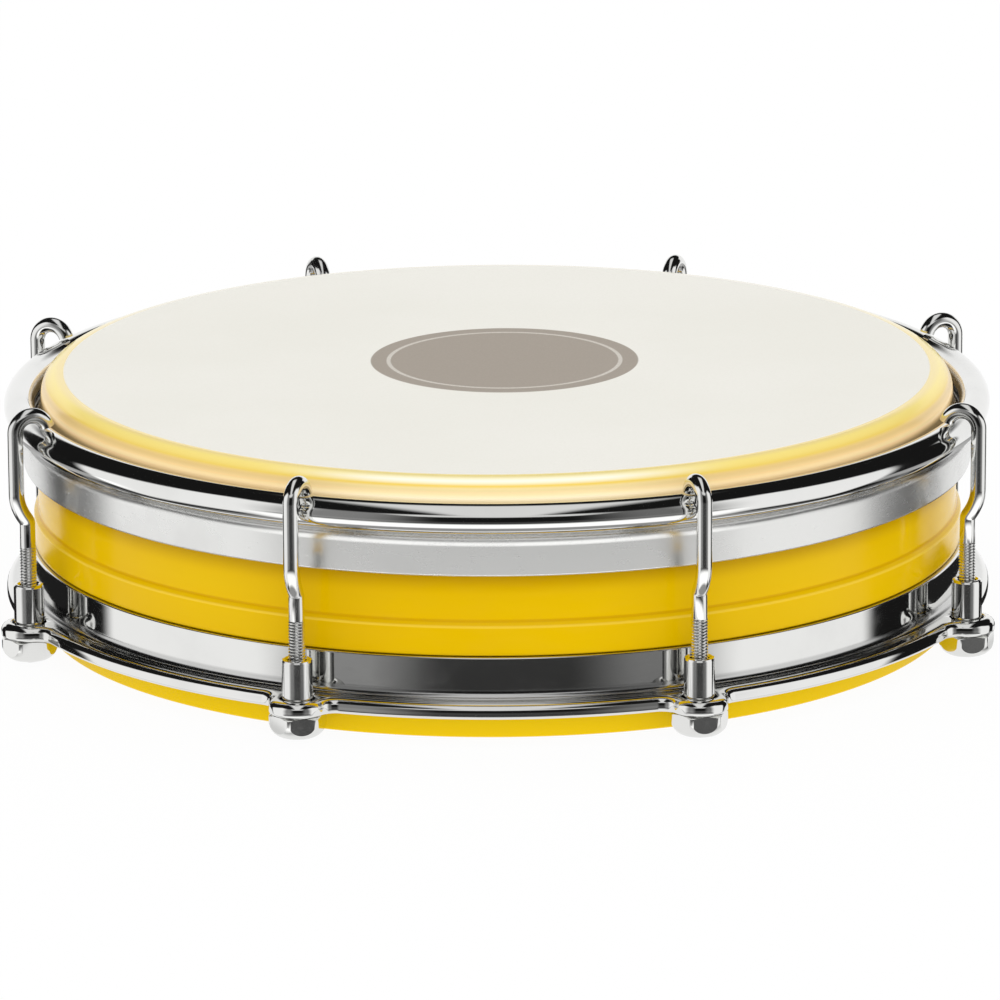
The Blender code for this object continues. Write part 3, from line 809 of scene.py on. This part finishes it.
def hook_path():
    """The middle of the wire in its own plane: outwards from the screw axis, and up."""
    rows = int((THREAD_TOP - ROD_BOTTOM) / (THREAD_PITCH / 6))
    foot = [(0.0, ROD_BOTTOM + (THREAD_TOP - ROD_BOTTOM) * i / rows) for i in range(rows + 1)]
    # The jog starts with a quick bend and eases off towards the top.
    slopes = [min((step + 0.5) / 5, 1.0) * (1 - (step + 0.5) / 32) for step in range(32)]
    jog = [(0.0, JOG_BOTTOM)]
    for step, slope in enumerate(slopes, 1):
        jog.append((jog[-1][0] + ROD_OFFSET * slope / sum(slopes), JOG_BOTTOM + JOG_HEIGHT * step / 32))
    bend_x = ROD_OFFSET - HOOK_BEND
    inner_bend = HOOK_BEND - WIRE_RADIUS
    rest_x = LUG_RADIUS + bend_x + inner_bend * math.cos(HOOK_WRAP) - BEAD[0]
    rest_z = BEAD[1] + math.sqrt((BEAD_RADIUS + FIT_GAP) ** 2 - rest_x ** 2) - 0.05 * MM
    bend = (bend_x, rest_z - inner_bend * math.sin(HOOK_WRAP))
    return foot + jog + arc(bend, HOOK_BEND, 0.0, HOOK_WRAP, 40)


def hook_meshes(material):
    mesh = shaped("hook", profile_mesh("hook_path", hook_path(), False), rod_tree(), {
        "Wire Radius": WIRE_RADIUS, "Thread Radius": THREAD_RADIUS, "Thread Depth": THREAD_DEPTH,
        "Thread Top": THREAD_TOP, "Pitch": THREAD_PITCH, "Sides": 24, "Material": material})
    faced_outwards(mesh)
    mesh.set_sharp_from_angle(angle=math.radians(50))
    result = []
    for angle in lug_angles():
        own = mesh.copy()
        own.transform(lug_matrix(angle))
        result.append(own)
    return result


# Tubular nuts

def nut_mesh(material):
    """The nut by its rule: a hexagon with rounded corners, drawn in to a small face at its foot."""
    steps = 180
    flat = HEX_FLATS / 2
    corner = 1.0 * MM
    corner_middle = (flat - corner) / math.cos(math.pi / 6)
    widest = corner_middle + corner
    foot_radius, foot_height = 2.4 * MM, 2.7 * MM

    def hexagon(angle):
        """Distance to the side at an angle, with one flat turned to the front."""
        local = abs((angle + math.pi / 2 + math.pi / 6) % (math.pi / 3) - math.pi / 6)
        if math.tan(local) <= (flat - corner) * math.tan(math.pi / 6) / flat:
            return flat / math.cos(local)
        off = math.pi / 6 - local
        return corner_middle * math.cos(off) + math.sqrt(corner ** 2 - (corner_middle * math.sin(off)) ** 2)

    def foot(angle, share):
        """A point on the rounded foot, as far up as it meets the side."""
        lean = math.asin((hexagon(angle) - foot_radius) / (widest - foot_radius) * 0.9999) * share
        return (foot_radius + (widest - foot_radius) * math.sin(lean),
                HEX_BOTTOM + foot_height * (1 - math.cos(lean)))

    def top(angle):
        return HEX_TOP - max(0.0, hexagon(angle) - flat + 0.05 * MM) * math.tan(math.radians(30))

    rules = [lambda a: (NUT_BORE + 0.35 * MM, HEX_BOTTOM)]
    rules += [lambda a, share=share / 8: foot(a, share) for share in range(9)]
    rules += [
        lambda a: (hexagon(a), top(a)),
        lambda a: (flat - 0.05 * MM, HEX_TOP),
        lambda a: (BARREL_RADIUS + 0.25 * MM, HEX_TOP),
        lambda a: (BARREL_RADIUS, HEX_TOP + 0.25 * MM),
        lambda a: (BARREL_RADIUS, BARREL_TOP - 0.4 * MM),
        lambda a: (BARREL_RADIUS - 0.12 * MM, BARREL_TOP - 0.12 * MM),
        lambda a: (BARREL_RADIUS - 0.4 * MM, BARREL_TOP),
        lambda a: (NUT_BORE + 0.3 * MM, BARREL_TOP),
        lambda a: (NUT_BORE, BARREL_TOP - 0.3 * MM),
        lambda a: (NUT_BORE, HEX_BOTTOM + 0.35 * MM),
    ]
    angles = [math.tau * i / steps for i in range(steps)]
    shape = bmesh.new()
    grid = []
    for rule in rules:
        line = []
        for a in angles:
            reach, z = rule(a)
            line.append(shape.verts.new((reach * math.cos(a), reach * math.sin(a), z)))
        grid.append(line)
    grid.append(grid[0])
    for one, two in zip(grid, grid[1:]):
        for i in range(steps):
            shape.faces.new((one[i - 1], one[i], two[i], two[i - 1]))
    bmesh.ops.recalc_face_normals(shape, faces=shape.faces)
    for face in shape.faces:
        face.smooth = True
    mesh = bpy.data.meshes.new("nut")
    shape.to_mesh(mesh)
    shape.free()
    mesh.materials.append(material)
    mesh.set_sharp_from_angle(angle=math.radians(22))
    return mesh


# Studio

def studio_dome():
    """The bright panels and dark gaps of the studio, seen only in the gloss of the drum."""
    shape = bmesh.new()
    bmesh.ops.create_uvsphere(shape, u_segments=48, v_segments=24, radius=STUDIO_REACH)
    mesh = bpy.data.meshes.new("studio_dome")
    shape.to_mesh(mesh)
    shape.free()
    dome = bpy.data.objects.new("studio_dome", mesh)
    bpy.context.scene.collection.objects.link(dome)
    dome.visible_camera = False
    dome.visible_diffuse = False
    dome.visible_shadow = False
    dome.visible_transmission = False
    dome.visible_volume_scatter = False

    material = bpy.data.materials.new("studio_dome")
    material.use_nodes = True
    material.cycles.emission_sampling = "NONE"
    tree = material.node_tree
    tree.nodes.clear()
    where, x, y, z = place(tree)
    flat = radius_of(tree, x, y)
    height = calc(tree, "MULTIPLY", calc(tree, "ARCTAN2", z, flat), 180 / math.pi)
    turn = calc(tree, "MULTIPLY", calc(tree, "ARCTAN2", x, calc(tree, "MULTIPLY", y, -1.0)), 180 / math.pi)
    side = calc(tree, "ABSOLUTE", turn)

    def window(value, start, rise, fall, end):
        """1 between two limits of a value, with soft ends."""
        falling = ramp_up(tree, value, fall, end, 1.0, 0.0)
        return calc(tree, "MULTIPLY", ramp_up(tree, value, start, rise), falling)

    def times(*values):
        result = values[0]
        for value in values[1:]:
            result = calc(tree, "MULTIPLY", result, value)
        return result

    # Two ceiling panels: a long one overhead, and a low one in front.
    above = calc(tree, "MAXIMUM", z, 0.001)
    over_x = calc(tree, "ABSOLUTE", calc(tree, "DIVIDE", x, above))
    over_y = calc(tree, "DIVIDE", y, above)
    up = ramp_up(tree, height, 20.0, 26.0)
    strip = times(up, ramp_up(tree, over_x, 0.16, 0.32, 1.0, 0.0),
                  window(over_y, -2.2, -1.5, 0.45, 0.8), 0.8)
    low_front = times(up, ramp_up(tree, over_x, 0.5, 0.9, 1.0, 0.0),
                      window(over_y, -2.2, -1.6, -1.35, -1.0), 0.8)

    # The two side panels, with a faint glow that reaches in from each, and the table's light below them.
    left = calc(tree, "ADD", ramp_up(tree, turn, -32.0, -12.0, 0.24, 0.0),
                ramp_up(tree, turn, -62.0, -40.0, 0.76, 0.0))
    right = calc(tree, "ADD", ramp_up(tree, turn, 16.0, 36.0, 0.0, 0.16),
                 ramp_up(tree, turn, 40.0, 62.0, 0.0, 0.84))
    left = times(left, ramp_up(tree, turn, -113.0, -107.0))
    right = times(right, ramp_up(tree, turn, 99.0, 105.0, 1.0, 0.0))
    low_edge = ramp_up(tree, height, -17.5, -15.5)
    wide = ramp_up(tree, side, 44.0, 60.0)
    # Their top edges come down towards the back.
    past = calc(tree, "MAXIMUM", calc(tree, "SUBTRACT", side, 72.0), 0.0)
    lifted = calc(tree, "ADD", height, calc(tree, "MULTIPLY", past, 0.8))
    sides = times(calc(tree, "ADD", left, right), calc(tree, "MAXIMUM", low_edge, wide),
                  ramp_up(tree, height, -46.0, -38.0), ramp_up(tree, lifted, 33.0, 42.0, 1.0, 0.0))
    reflector = times(ramp_up(tree, side, 58.0, 80.0, 1.0, 0.0), ramp_up(tree, height, -15.5, -28.0),
                      ramp_up(tree, height, -48.0, -57.0, 1.0, 0.0), 1.3)
    front_foot = times(ramp_up(tree, side, 40.0, 60.0, 1.0, 0.0),
                       window(height, -18.0, -13.0, -9.0, -2.0), 0.05)
    # Dim light from below and from behind, and the bright back wall.
    under = ramp_up(tree, height, -46.0, -58.0, 0.0, 0.32)
    straight_down = ramp_up(tree, height, -74.0, -84.0, 0.0, 0.16)
    behind = times(ramp_up(tree, side, 110.0, 150.0), ramp_up(tree, height, -20.0, -34.0), 0.38)
    haze = times(ramp_up(tree, side, 96.0, 108.0), window(height, -34.0, -27.0, -20.5, -18.0), 0.42)
    behind_right = ramp_up(tree, turn, 129.0, 131.5)
    behind_left = ramp_up(tree, turn, -141.5, -139.0, 1.0, 0.0)
    back_wall = times(calc(tree, "ADD", behind_left, behind_right),
                      window(height, -19.5, -18.0, 20.0, 26.0))

    total = calc(tree, "ADD", calc(tree, "MAXIMUM", sides, reflector), calc(tree, "ADD", 0.01, strip))
    for value in (front_foot, under, straight_down, behind, haze, back_wall):
        total = calc(tree, "ADD", total, value)
    total = calc(tree, "MAXIMUM", total, low_front)
    emission = tree.nodes.new("ShaderNodeEmission")
    tree.links.new(total, emission.inputs["Strength"])
    output = tree.nodes.new("ShaderNodeOutputMaterial")
    tree.links.new(emission.outputs[0], output.inputs["Surface"])
    mesh.materials.append(material)


def studio_floor():
    mesh = bpy.data.meshes.new("floor")
    reach = STUDIO_REACH
    corners = [(-reach, -reach, 0.0), (reach, -reach, 0.0), (reach, reach, 0.0), (-reach, reach, 0.0)]
    mesh.from_pydata(corners, [], [(0, 1, 2, 3)])
    floor = bpy.data.objects.new("floor", mesh)
    floor.location.z = -0.05 * MM
    bpy.context.scene.collection.objects.link(floor)
    floor.visible_glossy = False

    material = bpy.data.materials.new("floor")
    material.use_nodes = True
    tree = material.node_tree
    tree.nodes.clear()
    plain = tree.nodes.new("ShaderNodeBsdfDiffuse")
    plain.inputs["Color"].default_value = (0.98, 0.98, 0.98, 1.0)
    glow = tree.nodes.new("ShaderNodeEmission")
    glow.inputs["Strength"].default_value = 1.0
    mix = tree.nodes.new("ShaderNodeMixShader")
    camera_ray = tree.nodes.new("ShaderNodeLightPath").outputs["Is Camera Ray"]
    tree.links.new(calc(tree, "ADD", 0.9, calc(tree, "MULTIPLY", camera_ray, 0.05)), mix.inputs[0])
    tree.links.new(plain.outputs[0], mix.inputs[1])
    tree.links.new(glow.outputs[0], mix.inputs[2])
    # From below the camera looks through the floor at the drum.
    behind = tree.nodes.new("ShaderNodeNewGeometry").outputs["Backfacing"]
    clear = tree.nodes.new("ShaderNodeBsdfTransparent")
    both = tree.nodes.new("ShaderNodeMixShader")
    tree.links.new(calc(tree, "MULTIPLY", camera_ray, behind), both.inputs[0])
    tree.links.new(mix.outputs[0], both.inputs[1])
    tree.links.new(clear.outputs[0], both.inputs[2])
    output = tree.nodes.new("ShaderNodeOutputMaterial")
    tree.links.new(both.outputs[0], output.inputs["Surface"])
    mesh.materials.append(material)


def studio_table():
    """What the gloss sees of the table close under the drum: white, with a dark painted shadow beside the
    ring's two ends.
    """
    glint_from, glint_to = 88 * MM, 93 * MM
    shape = bmesh.new()
    bmesh.ops.create_circle(shape, cap_ends=True, segments=96, radius=130 * MM)
    mesh = bpy.data.meshes.new("table_glint")
    shape.to_mesh(mesh)
    shape.free()
    table = bpy.data.objects.new("table_glint", mesh)
    table.location.z = -0.04 * MM
    bpy.context.scene.collection.objects.link(table)
    table.visible_camera = False
    table.visible_diffuse = False
    table.visible_shadow = False
    table.visible_transmission = False
    material = bpy.data.materials.new("table_glint")
    material.use_nodes = True
    tree = material.node_tree
    tree.nodes.clear()
    where, x, y, z = place(tree)
    glint = ramp_up(tree, radius_of(tree, x, y), glint_from, glint_to, 1.0, 0.0)
    # A painted shadow: a dark patch, seen only in the gloss, beside each end of the lower ring.
    side = calc(tree, "ABSOLUTE", x)
    across = calc(tree, "MULTIPLY", ramp_up(tree, side, 79 * MM, 83 * MM),
                  ramp_up(tree, side, 112 * MM, 120 * MM, 1.0, 0.0))
    along = calc(tree, "MULTIPLY", ramp_up(tree, y, -16 * MM, -8 * MM),
                 ramp_up(tree, y, 26 * MM, 32 * MM, 1.0, 0.0))
    painted_shadow = calc(tree, "MULTIPLY", across, along)
    white, dark = 0.95, 0.015
    light = calc(tree, "MULTIPLY", calc(tree, "MULTIPLY", glint, white), calc(tree, "SUBTRACT", 1.0, painted_shadow))
    light = calc(tree, "ADD", light, calc(tree, "MULTIPLY", painted_shadow, dark))
    glow = tree.nodes.new("ShaderNodeEmission")
    tree.links.new(light, glow.inputs["Strength"])
    clear = tree.nodes.new("ShaderNodeBsdfTransparent")
    mix = tree.nodes.new("ShaderNodeMixShader")
    tree.links.new(calc(tree, "MAXIMUM", glint, painted_shadow), mix.inputs[0])
    tree.links.new(clear.outputs[0], mix.inputs[1])
    tree.links.new(glow.outputs[0], mix.inputs[2])
    output = tree.nodes.new("ShaderNodeOutputMaterial")
    tree.links.new(mix.outputs[0], output.inputs["Surface"])
    mesh.materials.append(material)


def studio_light():
    world = bpy.data.worlds.new("studio")
    bpy.context.scene.world = world
    world.use_nodes = True
    world.node_tree.nodes["Background"].inputs["Color"].default_value = (1.0, 1.0, 1.0, 1.0)
    world.node_tree.nodes["Background"].inputs["Strength"].default_value = 1.0

    lamp = bpy.data.lights.new("front_fill", "SUN")
    lamp.energy = 0.35
    lamp.angle = math.radians(50)
    fill = bpy.data.objects.new("front_fill", lamp)
    fill.rotation_euler = (math.radians(72), 0.0, 0.0)
    fill.visible_glossy = False
    bpy.context.scene.collection.objects.link(fill)


def studio_camera():
    camera = bpy.data.cameras.new("camera")
    camera.sensor_fit = "HORIZONTAL"
    camera.sensor_width = 36.0
    camera.lens = 276.28
    camera.shift_x = 0.00273
    camera.shift_y = -0.01774
    camera.clip_start = 0.05
    camera.clip_end = 50.0
    holder = bpy.data.objects.new("camera", camera)
    bpy.context.scene.collection.objects.link(holder)
    tilt, roll = math.radians(14.81), math.radians(-0.31)
    distance, aim_height = 1.3, 22 * MM
    holder.location = (0.0, -distance * math.cos(tilt), aim_height + distance * math.sin(tilt))
    turned = Matrix.Rotation(math.pi / 2 - tilt, 4, "X") @ Matrix.Rotation(roll, 4, "Z")
    holder.rotation_euler = turned.to_euler()
    bpy.context.scene.camera = holder


# The drum

TURNING = turning_tree()
POLISH = polish_group()
BRIGHT = linear(230, 230, 228)
PLASTIC = yellow_plastic()
HEAD = head_film()
HOOP_CHROME = chrome("hoop_chrome", 0.05, 0.8, satin=(34.0 * MM, 35.6 * MM, 0.2))
RING_CHROME = chrome("ring_chrome", 0.05, 0.8, bend=(7.8 * MM, 1.0 * MM, 0.35))
HOOK_CHROME = chrome("hook_chrome", 0.08, 1.0, False, (19.6 * MM, 20.4 * MM, 0.15))
NUT_CHROME = chrome("nut_chrome", 0.09, 1.0, ring=False)
CHANNEL_METAL = chrome("channel_metal", 0.32, 1.5)

turned_piece("shell", shell_profile(), PLASTIC)
turned_piece("drumhead", film_profile(), HEAD, closed=False)
turned_piece("flesh_hoop", channel_profile(), CHANNEL_METAL)
turned_piece("counterhoop", hoop_profile(), HOOP_CHROME)

ring = keep("tension_ring_fine", ring_mesh(RING_CHROME), "drum", "tension_ring", "tension_ring")
ring.modifiers.new("flats", "WEIGHTED_NORMAL")

for number, mesh in enumerate(hook_meshes(HOOK_CHROME), 1):
    keep(f"hook_{number}_fine", mesh, f"hook_{number}", "hook", f"hook_{number}")

nut = nut_mesh(NUT_CHROME)
nut.transform(Matrix.Rotation(NUT_TURN, 4, "Z"))
for number, angle in enumerate(lug_angles(), 1):
    own = nut.copy()
    own.transform(Matrix.Translation(lug_matrix(angle).translation))
    keep(f"nut_{number}_fine", own, f"nut_{number}", "nut", f"nut_{number}")

studio_dome()
studio_floor()
studio_table()
studio_light()
studio_camera()

bpy.context.scene.view_settings.view_transform = "Standard"
